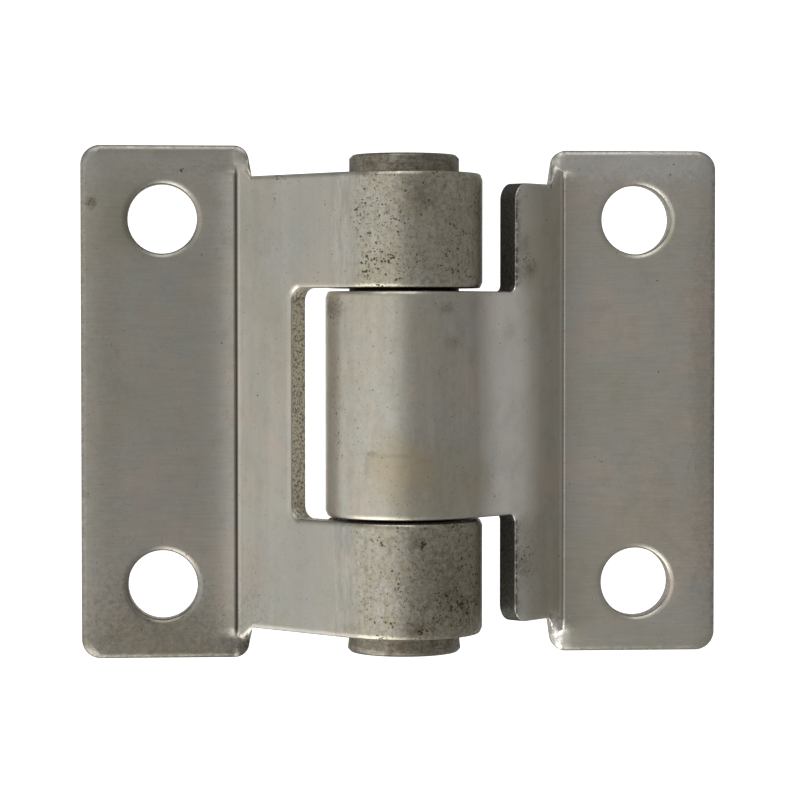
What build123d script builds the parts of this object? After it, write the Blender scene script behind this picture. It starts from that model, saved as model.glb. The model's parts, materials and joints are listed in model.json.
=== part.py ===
from build123d import *
from collections import Counter
from math import acos, cos, degrees, radians, sin, sqrt, tan
import os

# Trailer hinge in pressed steel: a frame leaf with two rolled knuckles, a door leaf with one
# rolled knuckle between them, and a solid pin. All sizes are in millimetres.
# The origin is the middle of the pin. +Z runs up along the pin, +Y points into the wall that
# the leaves are bolted to, and the frame leaf lies on the -X side.

# Sheet and pin
SHEET_THICKNESS = 3.0
PIN_DIAMETER = 14.0
RUNNING_CLEARANCE = 0.05
PIN_STANDOUT = 2.4
PIN_CHAMFER = 0.45
PIN_FLARE = 0.25
PIN_RIM_BEVEL = 0.4

# Knuckles, along the pin
CENTRE_KNUCKLE_LENGTH = 28.6
OUTER_KNUCKLE_LENGTH = 14.5
KNUCKLE_GAP = 0.4
CURL_SEAM_GAP = 0.8

# Leaves
STRAP_ANGLE = 45.0
LEAF_REACH = 41.4
FRAME_PLATE_HEIGHT = 66.5
DOOR_PLATE_HEIGHT = 65.5
DOOR_SHOULDER_SPAN = 56.5
PLATE_CORNER_RADIUS = 2.5
CREASE_RADIUS = 0.3
EAR_FULL_HEIGHT = 4.0
CREASE_END_MARGIN = 2.8
EAR_FOLD_RISE = 1.0
EAR_FOLD_START = 0.6
EAR_TIP_LENGTH = 1.2
EAR_ROOT_LENGTH = 1.9
EAR_CORNER_RADIUS = 1.9
NOTCH_CLEARANCE = 2.6
WINDOW_CORNER_RADIUS = 1.6
SHOULDER_CORNER_RADIUS = 2.2
NOTCH_RELIEF_RADIUS = 0.9

# Bolt holes
HOLE_DIAMETER = 9.0
HOLE_SPACING = 47.5
HOLE_EDGE_DISTANCE = 10.5

# Edges of the sheet, rolled over on the front by the press tool and only broken on the back
ROLL_OVER_DEPTH = 0.4
ROLL_OVER_EASE = 0.35
BACK_EDGE_BEVEL = 0.2

# Sizes that follow from those above
pin_radius = PIN_DIAMETER / 2
frame_bore = pin_radius
door_bore = pin_radius + RUNNING_CLEARANCE
axis_height = door_bore + SHEET_THICKNESS
window_height = CENTRE_KNUCKLE_LENGTH + 2 * KNUCKLE_GAP
barrel_length = window_height + 2 * OUTER_KNUCKLE_LENGTH
beyond = 2 * (LEAF_REACH + axis_height)  # longer than any cut through a leaf

# Section plane: local x is X, local y points to the front of the hinge
SECTION = Plane(origin=(0, 0, 0), x_dir=(1, 0, 0), z_dir=(0, 0, -1))
# Front view, on the front of the plates: local x is X, local y is Z
FRONT = Plane(origin=(0, axis_height - SHEET_THICKNESS, 0), x_dir=(1, 0, 0), z_dir=(0, -1, 0))
strap_along = Vector(cos(radians(STRAP_ANGLE)), sin(radians(STRAP_ANGLE)))
strap_normal = Vector(-sin(radians(STRAP_ANGLE)), cos(radians(STRAP_ANGLE)))


def on_strap(offset, level):
    """Point of the section at a level, on the strap line that lies offset from the pin's axis."""
    x = (level * strap_normal.Y - offset) / -strap_normal.X
    return Vector(x, level)


def crease_point(bore):
    """Where the fronts of the plate and the strap would meet without their small bend radius."""
    return on_strap(bore + SHEET_THICKNESS, SHEET_THICKNESS - axis_height)


def notch_wall(bore):
    """Distance along the strap, from the crease, to a notch that clears the other leaf's knuckle."""
    knuckle = door_bore + SHEET_THICKNESS
    strap_length = (strap_normal * (bore + SHEET_THICKNESS) - crease_point(bore)).length
    return strap_length - sqrt((knuckle + NOTCH_CLEARANCE) ** 2 - bore**2)


def sheet_section(bore):
    """Side view of a leaf: plate, strap and the curl around the pin, as one bent sheet."""
    outer = bore + SHEET_THICKNESS
    start = 90 + STRAP_ANGLE
    sweep = 360 - degrees(acos((bore - CURL_SEAM_GAP) / outer))
    crease = crease_point(bore)
    back_corner = on_strap(bore, -axis_height)
    straight = Polyline(
        strap_normal * bore,
        back_corner,
        (-LEAF_REACH, -axis_height),
        (-LEAF_REACH, SHEET_THICKNESS - axis_height),
        crease,
        strap_normal * outer,
    )
    curl_outside = CenterArc((0, 0), outer, start, -sweep)
    curl_inside = CenterArc((0, 0), bore, start, -sweep)
    curl_end = Line(curl_outside @ 1, curl_inside @ 1)
    section = make_face([*straight.edges(), curl_outside, curl_end, curl_inside])
    section = fillet(section.vertices().sort_by_distance(crease)[0], CREASE_RADIUS)
    bend_outside = CREASE_RADIUS + SHEET_THICKNESS
    return fillet(section.vertices().sort_by_distance(back_corner)[0], bend_outside)


def strap_plane(bore):
    """Plane on the strap's front: local x runs from the crease to the knuckle, local y is Z."""
    crease = crease_point(bore)
    return Plane(
        origin=(crease.X, -crease.Y, 0),
        x_dir=(strap_along.X, -strap_along.Y, 0),
        z_dir=(strap_normal.X, -strap_normal.Y, 0),
    )


def punched(outline, bore):
    """Solid that a punch square to the strap removes, through the strap and the whole curl."""
    blank = strap_plane(bore) * outline
    return extrude(blank, amount=-beyond) + extrude(blank, amount=SHEET_THICKNESS)


def ear_share(plate_height, strap_height):
    """How much of its full fold, corner and edges an ear has room for: less than 1 on a short ear."""
    return min(1, (plate_height - strap_height) / 2 / EAR_FULL_HEIGHT)


def ear_place(bore, length, share):
    """X of a place on the ear, a length past the crease; a short ear shrinks to the bend's start."""
    bend_start = CREASE_RADIUS * tan(radians(STRAP_ANGLE / 2))
    return crease_point(bore).X + share * length - (1 - share) * bend_start


def plan_outline(bore, plate_height, strap_height):
    """Front view of a leaf without its notches: plate, ears, and a strap that runs past the pin."""
    share = ear_share(plate_height, strap_height)
    corner = (-LEAF_REACH, plate_height / 2)
    tip = (ear_place(bore, EAR_TIP_LENGTH, share), plate_height / 2)
    root = (ear_place(bore, EAR_ROOT_LENGTH, share), strap_height / 2)
    upper = [corner, tip, root, (beyond, strap_height / 2)]
    lower = [(x, -z) for x, z in reversed(upper)]
    outline = make_face(Polyline(*upper, *lower, close=True))
    for (x, z), radius in ((corner, PLATE_CORNER_RADIUS), (tip, share * EAR_CORNER_RADIUS)):
        pair = [outline.vertices().sort_by_distance((x, side * z))[0] for side in (1, -1)]
        outline = fillet(pair, radius)
    return outline


def fold_plane(bore, plate_height, strap_height):
    """Plane of the facet past the crease's upper end, where the strap's slope runs out in the ear."""
    crease = crease_point(bore)
    share = ear_share(plate_height, strap_height)
    root = ear_place(bore, EAR_ROOT_LENGTH, share) - crease.X
    climb = root * tan(radians(STRAP_ANGLE))
    crease_end = Vector(crease.X, -crease.Y, plate_height / 2 - share * CREASE_END_MARGIN)
    start = strap_height / 2 + share * EAR_FOLD_START
    on_strap_side = Vector(crease.X + root, -crease.Y - climb, start)
    on_ear_side = crease_end + Vector(root, 0, share * EAR_FOLD_RISE)
    along = on_strap_side - crease_end
    return Plane(origin=crease_end, x_dir=along, z_dir=along.cross(on_ear_side - crease_end))


def rectangle_from(left, low, high):
    """Rectangle on the strap from a wall at left, past the curl, between two levels of Z."""
    return Pos((left + beyond) / 2, (low + high) / 2) * Rectangle(beyond - left, high - low)


def edges_at(part, bore, along, level):
    """Edges square to the strap that pass the given place on its front, on both sides of Z = 0."""
    places = [strap_plane(bore).from_local_coords((along, z, 0)) for z in (level, -level)]
    square = part.edges().filter_by(Axis((0, 0, 0), strap_plane(bore).z_dir))
    return [square.sort_by_distance(place)[0] for place in places]


def ear_slope(bore, plate_height, strap_height):
    """What the press flattens off the bent sheet in front of the upper ear, down to the facet."""
    crease = crease_point(bore).X
    facet = fold_plane(bore, plate_height, strap_height)
    ahead = facet * Pos(0, 0, beyond / 2) * Box(2 * beyond, 2 * beyond, beyond)
    zone = Pos(crease - CREASE_RADIUS, axis_height - SHEET_THICKNESS, strap_height / 2)
    return ahead & zone * Box(beyond, beyond, beyond, align=(Align.MIN, Align.MAX, Align.MIN))


def plate_blank(bore, plate_height, strap_height):
    """Bent sheet with its rounded plate corners, its flat ears and its strap, before the notches."""
    part = extrude(SECTION * sheet_section(bore), amount=plate_height / 2, both=True)
    part = part & extrude(FRONT * plan_outline(bore, plate_height, strap_height), amount=beyond, both=True)
    slope = ear_slope(bore, plate_height, strap_height)
    return part - slope - mirror(slope, about=Plane.XY)


def with_bolt_holes(part):
    """Two plain holes for the bolts, one above the other."""
    for z in (-HOLE_SPACING / 2, HOLE_SPACING / 2):
        centre = (HOLE_EDGE_DISTANCE - LEAF_REACH, axis_height - SHEET_THICKNESS / 2, z)
        drill = Cylinder(HOLE_DIAMETER / 2, 2 * SHEET_THICKNESS, rotation=(90, 0, 0))
        part = part - Pos(*centre) * drill
    return part


def side_border(part, directions):
    """Edges all round one side of the bent sheet, whose flats face the given directions."""
    flats = part.faces().filter_by(GeomType.PLANE).sort_by(SortBy.AREA, reverse=True)
    side = [flats.filter_by(lambda face: face.normal_at() == way)[0] for way in directions]
    flat_edges = {edge for face in side for edge in face.edges()}
    bends = [
        face
        for face in part.faces().filter_by(GeomType.CYLINDER)
        if face.axis_of_rotation.is_parallel(Axis.Z) and flat_edges.intersection(face.edges())
    ]
    uses = Counter(edge for face in (*side, *bends) for edge in face.edges())
    return [edge for edge, count in uses.items() if count == 1]


def with_bevelled_edges(part, bore, plate_height, strap_height):
    """Roll-over in two slopes round the front of the sheet, one beside the ears, and a broken back edge."""
    crease = crease_point(bore).X
    share = ear_share(plate_height, strap_height)
    ears_end = ear_place(bore, EAR_ROOT_LENGTH + ROLL_OVER_DEPTH, share)
    facet = fold_plane(bore, plate_height, strap_height).z_dir
    flats = (Vector(0, -1, 0), strap_plane(bore).z_dir)
    front = (*flats, facet, Vector(facet.X, facet.Y, -facet.Z))
    part = chamfer(side_border(part, front), share * ROLL_OVER_DEPTH)
    eased = [edge for edge in side_border(part, front) if not crease < edge.center().X < ears_end]
    part = chamfer(eased, share * ROLL_OVER_EASE)
    return chamfer(side_border(part, [-way for way in flats]), BACK_EDGE_BEVEL)


def frame_leaf():
    """Leaf with an outer knuckle at each end, and the window that takes the other leaf's knuckle."""
    part = plate_blank(frame_bore, FRAME_PLATE_HEIGHT, barrel_length)
    wall = notch_wall(frame_bore)
    window = rectangle_from(wall, -window_height / 2, window_height / 2)
    part = part - punched(window, frame_bore)
    part = fillet(edges_at(part, frame_bore, wall, window_height / 2), WINDOW_CORNER_RADIUS)
    return with_bevelled_edges(with_bolt_holes(part), frame_bore, FRAME_PLATE_HEIGHT, barrel_length)


def door_leaf():
    """Leaf with the centre knuckle, and a notch on each side of it that leaves two shoulders."""
    part = plate_blank(door_bore, DOOR_PLATE_HEIGHT, DOOR_SHOULDER_SPAN)
    wall = notch_wall(door_bore)
    notch = rectangle_from(wall, CENTRE_KNUCKLE_LENGTH / 2, DOOR_PLATE_HEIGHT)
    cut = punched(notch, door_bore)
    part = part - cut - mirror(cut, about=Plane.XY)
    part = fillet(edges_at(part, door_bore, wall, CENTRE_KNUCKLE_LENGTH / 2), NOTCH_RELIEF_RADIUS)
    part = fillet(edges_at(part, door_bore, wall, DOOR_SHOULDER_SPAN / 2), SHOULDER_CORNER_RADIUS)
    part = with_bevelled_edges(with_bolt_holes(part), door_bore, DOOR_PLATE_HEIGHT, DOOR_SHOULDER_SPAN)
    return mirror(part, about=Plane.YZ)


def hinge_pin():
    """Turned pin with a chamfered top end and a bottom end flared by peening."""
    top = barrel_length / 2 + PIN_STANDOUT
    profile = make_face(
        Polyline(
            (0, -top),
            (pin_radius + PIN_FLARE, -top),
            (pin_radius, -barrel_length / 2),
            (pin_radius, top - PIN_CHAMFER),
            (pin_radius - PIN_CHAMFER, top),
            (0, top),
            close=True,
        )
    )
    rim = profile.vertices().sort_by_distance((pin_radius + PIN_FLARE, -top))[0]
    return revolve(Plane.XZ * chamfer(rim, PIN_RIM_BEVEL), Axis.Z)


NODES = {"frame_leaf": frame_leaf, "door_leaf": door_leaf, "hinge_pin": hinge_pin}

os.makedirs("parts", exist_ok=True)
for name, make in NODES.items():
    export_step(make(), f"parts/{name}.step")
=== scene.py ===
import json
from functools import cached_property
from math import cos, hypot, pi, radians, sin, sqrt

import bpy
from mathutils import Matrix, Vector


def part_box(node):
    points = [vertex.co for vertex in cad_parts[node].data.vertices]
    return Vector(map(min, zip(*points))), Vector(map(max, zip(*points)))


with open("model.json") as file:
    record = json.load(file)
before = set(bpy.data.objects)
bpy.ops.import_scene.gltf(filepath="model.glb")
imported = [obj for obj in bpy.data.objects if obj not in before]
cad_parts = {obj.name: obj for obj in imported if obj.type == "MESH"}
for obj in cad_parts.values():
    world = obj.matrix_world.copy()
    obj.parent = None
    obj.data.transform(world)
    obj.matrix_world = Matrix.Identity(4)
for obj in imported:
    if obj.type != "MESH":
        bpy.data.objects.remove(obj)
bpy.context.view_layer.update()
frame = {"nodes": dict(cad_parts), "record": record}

# Trailer hinge in bare pressed steel, opened out flat. Scene units are metres, in the frame's axes:
# +Z up along the pin, +Y into the wall, the frame leaf on the -X side. The materials work in
# millimetres, because their grain, pits and stains are of that size.
MM = 1000.0

# Camera of the photograph: a long lens, a little to the left of the hinge and a little above it
CAMERA_YAW = radians(-3.85)
CAMERA_PITCH = radians(1.85)
CAMERA_DISTANCE = 0.3413
CAMERA_LENS = 120.3
CAMERA_SENSOR = 36.0
CAMERA_NEAR = 0.01
CAMERA_AIM = Vector((-0.00052, 0.0, 0.00045))

# Sizes of the hinge that the materials follow, in millimetres
SHEET = 3.0
CREASE_END = 2.8  # from the end of a plate
EAR_WIDTH = 2.6  # from the crease
EAR_SIDE = 1.5  # from the crease to the middle of the ear's side
EAR_LEVEL = 28.0  # from the middle of the pin, as the two ends below
CENTRE_END = 14.3
BARREL_END = 29.2
STRAP_START = 12.0  # from the axis of the pin, as the two below
PALE_BAND_OUT = 13.4
NOTCH_OUT = 14.5
mounts = {mount["name"]: mount for mount in frame["record"]["mounts"]}
bolts = mounts["frame_bolts"]
HOLE_OUT = -bolts["pos_m"][0] * MM
HOLE_RADIUS = bolts["dims"]["hole_r_mm"]
HOLE_LEVEL = bolts["dims"]["spacing_y_mm"] / 2
PLATE_BACK = bolts["pos_m"][1] * MM
PLATE_FRONT = PLATE_BACK - SHEET
LEAF_REACH = -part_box("frame_leaf")[0].x * MM
KNUCKLE_RADIUS = -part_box("door_leaf")[0].y * MM
CREASE_OUT = sqrt(2) * KNUCKLE_RADIUS + PLATE_FRONT

# Marks of the press in a leaf's surface: width and height in millimetres
EDGE_DIP = (1.8, -0.22)
HOLE_DIP = (0.8, -0.09)
CREASE_RISE = (1.3, 0.60)
GROOVE = (0.14, -0.06)
GROOVE_OUT = 0.05  # from the crease
EAR_ROLL_WIDTH = 1.1
CORNER_BLEND = 2.5

# Where the rust, the pale band and the notch's painted light and shade fade out and where they are full, in
# millimetres
RUST_REACH = (8.0, 5.6)  # from the axis of the pin, towards the leaf's own plate
PALE_BAND_REACH = (5.0, 1.0)  # to both sides of the pale band
NOTCH_REACH = (NOTCH_OUT + 3.0, NOTCH_OUT + 1.0)

# Widths of the dirt and painted shade along a shoulder's rim and of the painted shade along a plate's edge,
# in millimetres
RIM_DIRT_AND_SHADE_WIDTH = 0.30
EDGE_SHADE_WIDTH = 0.40

# Heights of the fine relief, in millimetres
GRAIN_HEIGHT = 0.006
LINE_HEIGHT = 0.008
PIT_HEIGHT = -0.03
NOTCH_SPECKLE_HEIGHT = 0.12
EDGE_SPECKLE_HEIGHT = 0.04
RING_HEIGHT = 0.03

# Colours of the steel
STEEL_WARM = (0.57, 0.53, 0.45)
STEEL_GREY = (0.55, 0.54, 0.49)
STEEL_BROWN = (0.42, 0.37, 0.29)
STEEL_OLIVE = (0.50, 0.46, 0.35)
STEEL_PINK = (0.60, 0.53, 0.46)
STEEL_GOLD = (0.52, 0.43, 0.28)
# Painted light at the tops of the plates
PLATE_TOP_PAINTED_LIGHT = (0.72, 0.72, 0.68)
# Painted shade on the frame leaf's straps
STRAP_PAINTED_SHADE = (0.42, 0.43, 0.40)
# One cut steel in the notches, painted lit on the frame leaf and painted shaded on the door leaf
FRAME_NOTCH_PAINTED_LIGHT = (0.82, 0.78, 0.66)
DOOR_NOTCH_PAINTED_SHADE = (0.11, 0.107, 0.095)
EDGE_STEEL = (0.48, 0.45, 0.39)
EDGE_BROWN = (0.29, 0.26, 0.21)
PIN_STEEL = (0.35, 0.33, 0.28)
DIRT_AND_PAINTED_SHADE = (0.06, 0.05, 0.04)
RUST = (0.06, 0.047, 0.028)
OIL_AND_GAP_SHADE = (0.012, 0.011, 0.009)
STAIN_AND_PAINTED_SHADE = (0.20, 0.165, 0.11)
# Pale colour of the band on the door's strap and of the painted highlight on the door's lower ear
PALE_BAND_AND_HIGHLIGHT = (0.99, 0.96, 0.89)


class Shading:
    """One procedural material on a Principled shader, with short ways to add nodes to it."""

    def __init__(self, name):
        self.material = bpy.data.materials.new(name)
        self.material.use_nodes = True
        self.tree = self.material.node_tree
        self.shader = self.tree.nodes["Principled BSDF"]
        coordinates = self.add("ShaderNodeTexCoord")
        self.place = self.vector("SCALE", coordinates.outputs["Object"], scale=MM)
        self.x, self.y, self.z = self.split(self.place)
        self.normal = coordinates.outputs["Normal"]

    def add(self, kind, **settings):
        node = self.tree.nodes.new(kind)
        for name, value in settings.items():
            setattr(node, name, value)
        return node

    def put(self, socket, value):
        """Links a socket to another one, or sets its own value."""
        if isinstance(value, bpy.types.NodeSocket):
            self.tree.links.new(value, socket)
        else:
            socket.default_value = value

    def math(self, operation, *values):
        node = self.add("ShaderNodeMath", operation=operation)
        for socket, value in zip(node.inputs, values):
            self.put(socket, value)
        return node.outputs["Value"]

    def vector(self, operation, *values, scale=None):
        node = self.add("ShaderNodeVectorMath", operation=operation)
        for socket, value in zip(node.inputs, values):
            self.put(socket, value)
        if scale is not None:
            self.put(node.inputs["Scale"], scale)
        return node.outputs["Value" if operation == "LENGTH" else "Vector"]

    def split(self, vector):
        node = self.add("ShaderNodeSeparateXYZ")
        self.put(node.inputs["Vector"], vector)
        return node.outputs

    def join(self, x, y, z):
        node = self.add("ShaderNodeCombineXYZ")
        for socket, value in zip(node.inputs, (x, y, z)):
            self.put(socket, value)
        return node.outputs["Vector"]

    def noise(self, per_mm, detail=2.0, roughness=0.5, crowded=None):
        """Clouds, about so many to a millimetre, and so many times more along x, y and z if crowded."""
        node = self.add("ShaderNodeTexNoise")
        place = self.vector("MULTIPLY", self.place, crowded) if crowded else self.place
        self.put(node.inputs["Vector"], place)
        self.put(node.inputs["Scale"], per_mm)
        self.put(node.inputs["Detail"], detail)
        self.put(node.inputs["Roughness"], roughness)
        return node.outputs["Fac"]

    def cells(self, per_mm):
        """Distance to the nearest of many scattered points, in parts of their spacing."""
        node = self.add("ShaderNodeTexVoronoi")
        self.put(node.inputs["Vector"], self.place)
        self.put(node.inputs["Scale"], per_mm)
        return node.outputs["Distance"]

    def fade(self, value, start, end, low=0.0, high=1.0):
        """Goes smoothly from low to high while the value goes from start to end."""
        node = self.add("ShaderNodeMapRange", interpolation_type="SMOOTHSTEP")
        for socket, number in zip(node.inputs, (value, start, end, low, high)):
            self.put(socket, number)
        return node.outputs["Result"]

    def mix(self, share, first, second, blend="MIX"):
        node = self.add("ShaderNodeMix", data_type="RGBA", blend_type=blend)
        colours = [socket for socket in node.inputs if socket.type == "RGBA"]
        self.put(node.inputs["Factor"], share)
        for socket, colour in zip(colours, (first, second)):
            self.put(socket, colour if isinstance(colour, bpy.types.NodeSocket) else (*colour, 1.0))
        return [socket for socket in node.outputs if socket.type == "RGBA"][0]

    def toned(self, colour, tone):
        """Colour multiplied by a number that changes over the surface."""
        return self.mix(1.0, colour, tone, blend="MULTIPLY")

    def decay(self, distance, width):
        """1 at a line or an edge, dying away over about the given width to both sides of it."""
        ratio = self.math("DIVIDE", self.math("ABSOLUTE", distance), -width)
        return self.math("EXPONENT", ratio)

    def total(self, *values):
        result = values[0]
        for value in values[1:]:
            result = self.math("ADD", result, value)
        return result

    def product(self, *values):
        result = values[0]
        for value in values[1:]:
            result = self.math("MULTIPLY", result, value)
        return result

    def difference(self, value, other):
        return self.math("SUBTRACT", value, other)

    @cached_property
    def ragged(self):
        """Uneven shift of a spot's outline."""
        return self.product(self.difference(self.noise(1.8, detail=6.0, roughness=0.8), 0.5), 3.2)

    @cached_property
    def facing(self):
        """1 on the front of the hinge and 0 on its back."""
        return self.fade(self.split(self.normal)[1], 0.1, -0.1)

    def blot(self, x, z, wide, high):
        """1 in the middle of a ragged spot on the hinge's front, given in millimetres, and 0 outside it."""
        across = self.vector("DIVIDE", self.vector("SUBTRACT", self.place, (x, 0.0, z)), (wide, 1.0, high))
        flat = self.vector("MULTIPLY", across, (1.0, 0.0, 1.0))
        spot = self.fade(self.math("ADD", self.vector("LENGTH", flat), self.ragged), 1.2, 0.2)
        return self.product(spot, self.facing)

    def bump(self, height):
        """Bends the normal by a height in millimetres."""
        node = self.add("ShaderNodeBump")
        self.put(node.inputs["Height"], height)
        self.put(node.inputs["Strength"], 1.0)
        self.put(node.inputs["Distance"], 1.0 / MM)
        self.put(self.shader.inputs["Normal"], node.outputs["Normal"])

    def finish(self, colour, roughness, metallic=1.0):
        self.put(self.shader.inputs["Base Color"], colour)
        self.put(self.shader.inputs["Roughness"], roughness)
        self.put(self.shader.inputs["Metallic"], metallic)
        return self.material


class LeafSkin(Shading):
    """Rolled surface of a leaf: satin steel with grain, pits and stains, dirt and painted shade in the
    crease, and painted light and shade on its parts.
    """

    def __init__(self, leaf, pitted):
        super().__init__(f"{leaf}_skin")
        low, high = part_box(leaf)
        half_height = high.z * MM
        crease_end = half_height - CREASE_END
        side = 1.0 if high.x > -low.x else -1.0
        self.pitted = pitted

        # Places on the leaf
        self.out = self.math("ABSOLUTE", self.x)
        self.level = self.math("ABSOLUTE", self.z)
        self.to_edge = self.math("SMOOTH_MIN", self.difference(LEAF_REACH, self.out),
                                 self.difference(half_height, self.level), CORNER_BLEND)
        self.to_crease = self.difference(self.out, CREASE_OUT)
        self.on_plate = self.fade(self.out, CREASE_OUT - 0.5, CREASE_OUT + 0.5)
        self.on_ear = self.fade(self.level, crease_end - 0.6, crease_end + 0.8)
        self.along_crease = self.fade(self.level, crease_end + 0.4, crease_end - 1.2)
        from_axis = self.vector("LENGTH", self.join(self.x, self.y, 0.0))
        self.curl = self.fade(from_axis, KNUCKLE_RADIUS + 0.8, KNUCKLE_RADIUS + 0.1)
        self.rusty = self.product(self.curl, self.fade(self.product(self.x, side), *RUST_REACH), pitted)
        width, self.groove_height = GROOVE
        to_groove = self.difference(self.to_crease, GROOVE_OUT)
        self.groove = self.product(self.decay(to_groove, width), self.along_crease)

        # Patterns, from coarse to fine
        self.mottle = self.noise(0.16, detail=4.0, roughness=0.6)
        self.haze = self.noise(0.45, detail=3.0, roughness=0.65)
        self.cluster = self.noise(0.5, detail=4.0, roughness=0.7)
        self.lines = self.noise(1.0, crowded=(0.25, 0.25, 6.0))
        self.grime = self.noise(1.5, detail=6.0, roughness=0.8)
        self.grain = self.noise(7.0, detail=3.0, roughness=0.7)

    def ridge(self, distance, mark):
        """Height of a press mark that runs along a line or an edge."""
        width, height = mark
        return self.product(self.decay(distance, width), height)

    def press_marks(self, ear_rolls):
        """Height of the sheet: dips to its edges and holes, a rise into the crease, rolls at the ears."""
        hole = self.join(self.difference(self.out, HOLE_OUT), 0.0, self.difference(self.level, HOLE_LEVEL))
        to_hole = self.difference(self.vector("LENGTH", hole), HOLE_RADIUS)
        dip = self.total(self.ridge(self.to_edge, EDGE_DIP), self.ridge(to_hole, HOLE_DIP),
                         self.product(self.ridge(self.to_crease, CREASE_RISE), self.along_crease))
        lower_roll, upper_roll = ear_rolls
        roll = self.fade(self.z, -1.0, 1.0, low=lower_roll, high=upper_roll)
        from_ear = self.decay(self.math("ADD", self.to_crease, EAR_SIDE), EAR_ROLL_WIDTH)
        return self.total(self.product(dip, self.on_plate), self.product(from_ear, self.on_ear, roll),
                          self.product(self.groove, self.groove_height))

    def pits(self, specks):
        """Rust specks, in clusters where the outside of the curl was stretched and at some single places."""
        rust = self.total(self.product(self.rusty, self.fade(self.cluster, 0.35, 0.70, high=0.70)),
                          *(self.product(self.blot(*spot), share) for *spot, share in specks))
        nearest = self.math("MINIMUM", self.cells(1.5), self.cells(2.7))
        dots = self.difference(self.product(rust, 0.30), nearest)
        fine = self.difference(self.noise(2.6, detail=5.0, roughness=0.8), 0.5)
        return self.fade(self.math("ADD", dots, fine), -0.12, 0.10)

    def bare_steel(self, painted_light_tones):
        """Colour of the clean sheet, with painted light and shade: the tones make the knuckle, the strap's
        end and the plate lighter or darker by how light falls on them.
        """
        colour = self.mix(self.fade(self.mottle, 0.35, 0.65), STEEL_GREY, STEEL_WARM)
        colour = self.mix(self.fade(self.haze, 0.45, 0.75, high=0.35), colour, STEEL_BROWN)
        colour = self.mix(self.fade(self.grain, 0.35, 0.75, high=0.18), colour, STEEL_BROWN)
        hue = self.noise(0.08, detail=3.0, roughness=0.6)
        colour = self.mix(self.fade(hue, 0.50, 0.68, high=0.7), colour, STEEL_PINK)
        colour = self.mix(self.fade(hue, 0.48, 0.30, high=0.7), colour, STEEL_OLIVE)

        # Lustre: streaks down the straps, lines across the plates and scuffs on the curl
        streaks = self.noise(0.5, detail=3.0, roughness=0.6, crowded=(1.0, 1.0, 0.08))
        scuffs = self.noise(1.1, detail=5.0, roughness=0.75, crowded=(1.0, 1.0, 0.2))
        streaked = self.fade(streaks, 0.3, 0.7, low=0.95, high=1.04)
        lined = self.fade(self.lines, 0.3, 0.7, low=0.96, high=1.04)
        scuffed = self.fade(scuffs, 0.36, 0.66, low=-0.17, high=0.17)
        lustre = self.total(streaked, self.product(self.on_plate, self.difference(lined, streaked)),
                            self.product(self.curl, scuffed, self.pitted), self.product(self.rusty, 0.13))

        # Painted light and shade: one tone each for the knuckle, the strap's end and the plate
        knuckle_painted_light, strap_painted_light, plate_painted_light = painted_light_tones
        tone = self.fade(self.out, STRAP_START, CREASE_OUT, low=knuckle_painted_light, high=strap_painted_light)
        plate = self.math("MAXIMUM", self.on_plate, self.on_ear)
        tone = self.math("ADD", tone, self.product(plate, self.difference(plate_painted_light, tone)))
        return self.toned(self.toned(colour, lustre), tone)

    def soiled(self, colour, band_and_rim, stains_and_painted_light):
        """Adds the film and grime on the curl, a pale band on the strap beside the centre knuckle, and the
        blots: stains, with painted light, painted shade and a painted highlight among them.
        """
        film = self.product(self.fade(self.cluster, 0.20, 0.55), self.fade(self.haze, 0.20, 0.60, high=0.8))
        colour = self.mix(self.product(self.rusty, film), colour, STEEL_OLIVE)
        grime = self.fade(self.grime, 0.42, 0.68, high=0.6)
        colour = self.mix(self.product(self.rusty, grime), colour, STAIN_AND_PAINTED_SHADE)
        # Pale band on the door's strap beside the centre knuckle
        from_band = self.math("ABSOLUTE", self.difference(self.out, PALE_BAND_OUT))
        beside = self.fade(self.level, CENTRE_END + 2.2, CENTRE_END - 0.8, low=0.35)
        band = self.product(self.fade(from_band, *PALE_BAND_REACH), beside, band_and_rim)
        colour = self.mix(self.product(band, self.fade(self.mottle, 0.2, 0.6, low=0.6)), colour, PALE_BAND_AND_HIGHLIGHT)
        uneven = self.fade(self.grime, 0.35, 0.6, low=0.5)
        for tint, marks in stains_and_painted_light.items():
            for *spot, share in marks:
                colour = self.mix(self.product(self.blot(*spot), uneven, share), colour, tint)
        return colour

    def dirt_and_painted_shade(self, band_and_rim):
        """Share of dirt and painted shade: dirt crumbs all over, dirt and painted shade in the crease's
        groove and on the shoulders' rims, and painted shade along the plate's edges.
        """
        crumbs = self.fade(self.cells(0.30), 0.025, 0.045, low=0.7, high=0.0)
        # Dirt and painted shade along the shoulders' rims, dimming the bevel's highlight
        to_rim = self.difference(self.out, NOTCH_OUT)
        beyond_centre = self.fade(self.level, CENTRE_END + 0.2, CENTRE_END + 1.2)
        rim_dirt_and_shade = self.product(self.decay(to_rim, RIM_DIRT_AND_SHADE_WIDTH), beyond_centre, band_and_rim)
        # Painted shade along the plate's edges, broken up by the grime noise
        edge_shade = self.product(self.decay(self.to_edge, EDGE_SHADE_WIDTH), self.on_plate)
        # The crumbs are dirt; the groove's share is dirt and painted shade in the crease
        share = self.total(crumbs, self.product(self.groove, 0.75),
                           self.product(rim_dirt_and_shade, self.fade(self.grime, 0.40, 0.55)),
                           self.product(edge_shade, self.fade(self.grime, 0.38, 0.58, high=0.6)))
        return self.math("MINIMUM", share, 0.9)


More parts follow.
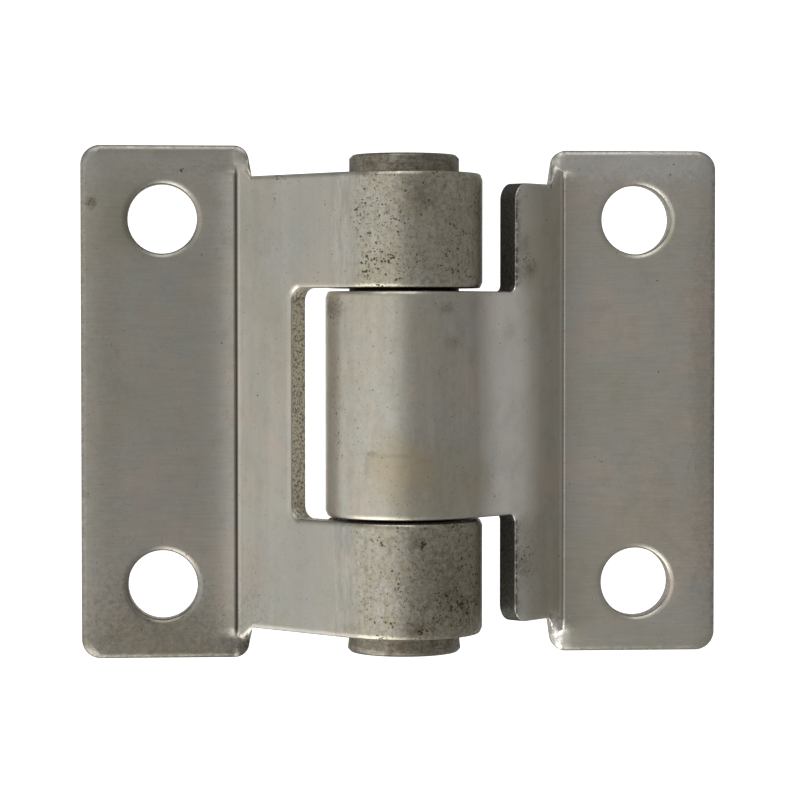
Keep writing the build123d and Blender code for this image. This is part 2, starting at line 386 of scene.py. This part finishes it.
def leaf_skin(leaf, pitted, painted_light_tones, band_and_rim, ear_rolls, stains_and_painted_light, specks):
    """Material of a leaf's rolled surface."""
    s = LeafSkin(leaf, pitted)
    pits = s.pits(specks)
    colour = s.soiled(s.bare_steel(painted_light_tones), band_and_rim, stains_and_painted_light)
    colour = s.mix(s.product(pits, 0.9), colour, RUST)
    # Dirt, with painted shade in the crease, on the shoulders' rims and along the plate's edges
    colour = s.mix(s.dirt_and_painted_shade(band_and_rim), colour, DIRT_AND_PAINTED_SHADE)
    s.bump(s.total(s.press_marks(ear_rolls), s.product(s.grain, GRAIN_HEIGHT),
                   s.product(s.lines, LINE_HEIGHT), s.product(pits, PIT_HEIGHT)))
    roughness = s.total(s.fade(s.haze, 0.3, 0.7, low=0.33, high=0.42), s.product(pits, 0.2))
    return s.finish(colour, roughness)


def cut_face(leaf, notch_painted_light_and_shade):
    """Sheared edge of a leaf: a dull, speckled fracture, coarse in the notch and finer round the plate. In
    the notch its lighter speckles take the given colour, painted light on the frame leaf and painted shade
    on the door leaf.
    """
    s = Shading(f"{leaf}_cut")
    speckle = s.noise(3.0, detail=4.0, roughness=0.8)
    out = s.math("ABSOLUTE", s.x)
    in_notch = s.fade(out, *NOTCH_REACH)
    bright = s.mix(in_notch, EDGE_STEEL, notch_painted_light_and_shade)
    dark = s.mix(in_notch, EDGE_BROWN, DIRT_AND_PAINTED_SHADE)
    colour = s.mix(s.fade(speckle, 0.32, 0.56), dark, bright)
    height = s.fade(out, *NOTCH_REACH, low=EDGE_SPECKLE_HEIGHT, high=NOTCH_SPECKLE_HEIGHT)
    s.bump(s.product(speckle, height))
    return s.finish(colour, s.fade(speckle, 0.3, 0.7, low=0.65, high=0.45))


def pin_turned():
    """Turned pin, dull and dirty, and near black where it is inside the knuckles: oil, and painted shade in
    the gaps between the knuckles.
    """
    s = Shading("pin_turned")
    rings = s.noise(1.0, detail=3.0, crowded=(0.4, 0.4, 5.0))
    grime = s.noise(0.5, detail=4.0, roughness=0.7)
    specks = s.noise(2.4, detail=5.0, roughness=0.8)
    inside = s.fade(s.math("ABSOLUTE", s.z), BARREL_END + 0.05, BARREL_END - 0.25)
    colour = s.mix(s.fade(grime, 0.35, 0.75), PIN_STEEL, STAIN_AND_PAINTED_SHADE)
    colour = s.mix(s.fade(rings, 0.45, 0.65, high=0.5), colour, STAIN_AND_PAINTED_SHADE)
    colour = s.mix(s.fade(specks, 0.48, 0.66, high=0.7), colour, DIRT_AND_PAINTED_SHADE)
    # Near black inside the knuckles: oil, and painted shade where the pin shows between them
    colour = s.mix(inside, colour, OIL_AND_GAP_SHADE)
    s.bump(s.product(rings, RING_HEIGHT))
    return s.finish(colour, s.fade(grime, 0.3, 0.7, low=0.38, high=0.6))


# How a face lies: 1 along the surface of its piece and 0 square to it, with the bevels between
CUT_BELOW = 0.45
BEVEL_ABOVE, BEVEL_BELOW = 0.1, 0.97
CURL_MARGIN = 0.3

# How strongly a face sets the normals at its corners, for the Weighted Normal modifier
STRENGTH = "__mod_weightednormals_faceweight"
STRONG, WEAK = 16384, -16384
WELD_DISTANCE = 1e-6


def along_sheet(face):
    """1 for a face that lies along the front or back of the sheet, and 0 for one cut square across it."""
    x, y, z = face.center * MM
    out = abs(x)
    on_ear = out > CREASE_OUT - EAR_WIDTH and abs(z) > EAR_LEVEL
    if hypot(x, y) < KNUCKLE_RADIUS + CURL_MARGIN:
        across = Vector((x, y, 0.0)).normalized()
    elif out > CREASE_OUT or on_ear:
        across = Vector((0.0, 1.0, 0.0))
    else:
        across = Vector((x / out, -1.0, 0.0)).normalized()
    return abs(face.normal.dot(across))


def along_pin(face):
    """1 for a face on an end of the pin, and 0 for one on its side."""
    return abs(face.normal.z)


def dress(name, along, *materials):
    """Gives a node its materials, the second one on faces square to its surface, and softens its bevels."""
    node = frame["nodes"][name]
    node.data.materials.clear()
    for material in materials:
        node.data.materials.append(material)
    node.data.shade_smooth()
    strength = node.data.attributes.new(STRENGTH, "INT", "FACE")
    for face in node.data.polygons:
        share = along(face)
        face.material_index = int(share < CUT_BELOW and len(materials) > 1)
        strength.data[face.index].value = WEAK if BEVEL_ABOVE < share < BEVEL_BELOW else STRONG
    weld = node.modifiers.new("weld", "WELD")
    weld.merge_threshold = WELD_DISTANCE
    weighted = node.modifiers.new("soft_edges", "WEIGHTED_NORMAL")
    weighted.weight = 100
    weighted.keep_sharp = True
    weighted.use_face_influence = True


# Stains and painted light and shade by their colour, and rust specks: x, z, width and height on the front in
# millimetres, and share
FRAME_STAINS_AND_PAINTED_LIGHT = {
    STAIN_AND_PAINTED_SHADE: (
        (5.5, -22.0, 6.5, 11.0, 0.65), (6.5, 22.0, 4.5, 11.0, 0.15), (1.8, 26.0, 2.6, 3.0, 0.5),
        # The tall blot at x -38 is painted shade along the plate's outer edge
        (-40.0, 25.8, 0.9, 0.9, 0.8), (-38.0, 0.0, 2.6, 36.0, 0.22), (-20.0, -31.8, 2.0, 1.5, 0.5),
        # The wide blot at x -31, z -36 is painted shade low on the plate
        (-31.0, -36.0, 16.0, 14.0, 0.65), (1.0, -16.9, 1.6, 1.2, 0.7), (1.1, -27.7, 2.2, 1.2, 0.8),
        (6.9, -25.4, 1.2, 2.4, 0.7), (5.2, -22.7, 2.2, 3.0, 0.4), (-7.2, -27.9, 1.5, 0.8, 0.4),
    ),
    # Painted light, lighter towards the top of the plate
    PLATE_TOP_PAINTED_LIGHT: ((-31.0, 33.0, 14.0, 6.0, 0.2),),
    # Painted shade on the middles of the straps
    STRAP_PAINTED_SHADE: ((-14.0, 22.0, 9.0, 9.0, 0.5), (-14.0, -22.5, 9.0, 9.0, 0.5)),
}
FRAME_SPECKS = (
    (-1.4, -22.3, 0.6, 1.6, 0.9), (1.6, -17.3, 0.7, 0.7, 1.3), (1.7, -27.9, 0.9, 0.6, 1.3),
    (-3.4, -17.2, 0.8, 0.7, 0.9), (-0.5, -25.0, 3.0, 0.8, 0.5), (7.5, -25.0, 2.5, 3.5, 0.3),
    (-6.0, 24.5, 1.0, 1.6, 0.5), (-4.5, 17.5, 1.8, 2.8, 0.4), (5.0, -21.0, 6.0, 9.0, 0.3),
    (-3.0, 22.0, 4.0, 7.0, 0.3), (6.0, 20.0, 4.0, 6.0, 0.3), (-15.9, 29.0, 1.0, 0.9, 0.8),
    (-28.2, 29.9, 0.6, 0.6, 0.9), (-16.4, 26.5, 0.4, 1.1, 0.8), (-40.0, 25.8, 0.9, 1.0, 0.7),
    (-20.0, -31.5, 1.6, 1.6, 0.9),
)
DOOR_STAINS_AND_PAINTED_LIGHT = {
    STAIN_AND_PAINTED_SHADE: (
        (-9.2, 12.2, 1.6, 1.4, 0.6), (4.8, 12.2, 1.0, 0.9, 0.5), (5.5, 7.9, 1.1, 1.1, 0.4),
        (16.4, 17.2, 1.4, 1.2, 0.5), (15.6, 20.5, 0.8, 1.6, 0.4), (15.6, -21.0, 1.2, 2.6, 0.4),
        # The tall blot at x 40 is painted shade along the plate's outer edge
        (17.8, -21.5, 3.0, 8.0, 0.2), (40.0, 0.0, 2.2, 36.0, 0.25), (-4.6, -6.0, 1.0, 0.5, 0.6),
        (-1.5, -6.2, 2.6, 0.35, 0.5), (1.6, -6.9, 1.4, 0.3, 0.35), (-5.2, -7.6, 0.4, 1.6, 0.4),
    ),
    STEEL_GOLD: ((-0.5, -8.0, 5.5, 5.0, 0.8), (8.5, -9.5, 3.0, 4.0, 0.5), (34.0, -16.0, 9.0, 9.0, 0.25)),
    # Painted light, lighter towards the top of the plate
    PLATE_TOP_PAINTED_LIGHT: ((31.0, 33.0, 14.0, 6.0, 0.9),),
    # Painted highlight on the door's lower ear
    PALE_BAND_AND_HIGHLIGHT: ((20.0, -30.6, 2.1, 3.2, 1.0),),
}
DOOR_SPECKS = (
    (-9.4, 11.0, 0.5, 0.7, 0.8), (3.2, 13.0, 0.5, 0.4, 0.8), (16.0, 17.8, 1.6, 1.6, 0.6),
    (15.8, -20.0, 1.4, 3.5, 0.6), (-8.8, 0.0, 0.6, 12.0, 0.45),
)
# The tones are painted light and shade, and the blots hold painted light and shade besides real stains
frame_skin = leaf_skin("frame_leaf", pitted=1.0, painted_light_tones=(0.91, 1.08, 0.70), band_and_rim=0.0, ear_rolls=(-0.55, 0.75),
                       stains_and_painted_light=FRAME_STAINS_AND_PAINTED_LIGHT, specks=FRAME_SPECKS)
door_skin = leaf_skin("door_leaf", pitted=0.25, painted_light_tones=(1.0, 1.0, 1.05), band_and_rim=1.0, ear_rolls=(-1.15, -0.35),
                      stains_and_painted_light=DOOR_STAINS_AND_PAINTED_LIGHT, specks=DOOR_SPECKS)
# The frame leaf's notch walls get painted light and the door leaf's shoulder walls painted shade
dress("frame_leaf", along_sheet, frame_skin, cut_face("frame_leaf", FRAME_NOTCH_PAINTED_LIGHT))
dress("door_leaf", along_sheet, door_skin, cut_face("door_leaf", DOOR_NOTCH_PAINTED_SHADE))
dress("hinge_pin", along_pin, pin_turned())


# Studio: a pale floor well below the hinge, soft light mostly from the left and from below
FLOOR_LEVEL = -0.7
FLOOR_RADIUS = 1.5
FLOOR_PALE = (0.86, 0.86, 0.85)
FLOOR_GREY = (0.80, 0.80, 0.79)
WHITE = (1.0, 1.0, 1.0, 1.0)
WALL_START, WALL_END = 0.935, 0.960  # Y of the directions where the white wall begins and is full


def direction(azimuth, elevation):
    """Unit vector from the hinge: azimuth 0 points at the viewer and 90 to the right, in degrees."""
    a, e = radians(azimuth), radians(elevation)
    return Vector((sin(a) * cos(e), -cos(a) * cos(e), sin(e)))


def floor():
    """Round floor in pale matt paint."""
    s = Shading("floor_paint")
    material = s.finish(s.mix(s.noise(0.02, detail=3.0), FLOOR_PALE, FLOOR_GREY), 0.7, metallic=0.0)
    bpy.ops.mesh.primitive_circle_add(vertices=128, radius=FLOOR_RADIUS, fill_type="NGON",
                                      location=(0.0, 0.0, FLOOR_LEVEL))
    plate = bpy.context.object
    plate.name = "floor"
    plate.data.materials.append(material)


def softbox(name, azimuth, elevation, distance, width, height, radiance):
    """Area light of an even radiance that faces the hinge."""
    data = bpy.data.lights.new(name, "AREA")
    data.shape = "RECTANGLE"
    data.size, data.size_y = width, height
    data.energy = radiance * pi * width * height
    light = bpy.data.objects.new(name, data)
    light.location = direction(azimuth, elevation) * distance
    light.rotation_mode = "QUATERNION"
    light.rotation_quaternion = (-light.location).to_track_quat("-Z", "Y")
    light.visible_camera = False
    bpy.context.scene.collection.objects.link(light)


def surroundings(front, back):
    """World light that goes from a dim room in front of the hinge to a white wall behind it."""
    world = bpy.data.worlds.new("studio")
    world.use_nodes = True
    nodes, links = world.node_tree.nodes, world.node_tree.links
    place = nodes.new("ShaderNodeTexCoord")
    parts = nodes.new("ShaderNodeSeparateXYZ")
    ramp = nodes.new("ShaderNodeMapRange")
    ramp.interpolation_type = "SMOOTHSTEP"
    ramp.inputs["From Min"].default_value = WALL_START
    ramp.inputs["From Max"].default_value = WALL_END
    ramp.inputs["To Min"].default_value = front
    ramp.inputs["To Max"].default_value = back
    links.new(place.outputs["Generated"], parts.inputs["Vector"])
    links.new(parts.outputs["Y"], ramp.inputs["Value"])
    links.new(ramp.outputs["Result"], nodes["Background"].inputs["Strength"])
    nodes["Background"].inputs["Color"].default_value = WHITE
    bpy.context.scene.world = world


def camera():
    """Camera at the photograph's place, aimed at the hinge."""
    data = bpy.data.cameras.new("camera")
    data.lens = CAMERA_LENS
    data.sensor_width = CAMERA_SENSOR
    data.clip_start = CAMERA_NEAR
    view = bpy.data.objects.new("camera", data)
    level = CAMERA_DISTANCE * cos(CAMERA_PITCH)
    view.location = (level * sin(CAMERA_YAW), -level * cos(CAMERA_YAW), CAMERA_DISTANCE * sin(CAMERA_PITCH))
    view.rotation_mode = "QUATERNION"
    view.rotation_quaternion = (CAMERA_AIM - view.location).to_track_quat("-Z", "Y")
    bpy.context.scene.collection.objects.link(view)
    bpy.context.scene.camera = view


floor()
surroundings(front=0.31, back=1.3)
softbox("key", azimuth=-50, elevation=-10, distance=0.9, width=1.6, height=1.3, radiance=0.51)
softbox("side", azimuth=-115, elevation=-5, distance=0.9, width=0.6, height=1.0, radiance=0.75)
softbox("low", azimuth=-60, elevation=-55, distance=0.42, width=0.45, height=0.35, radiance=2.2)
softbox("top", azimuth=-20, elevation=58, distance=0.9, width=0.8, height=0.5, radiance=1.5)
camera()
bpy.context.scene.view_settings.view_transform = "Standard"
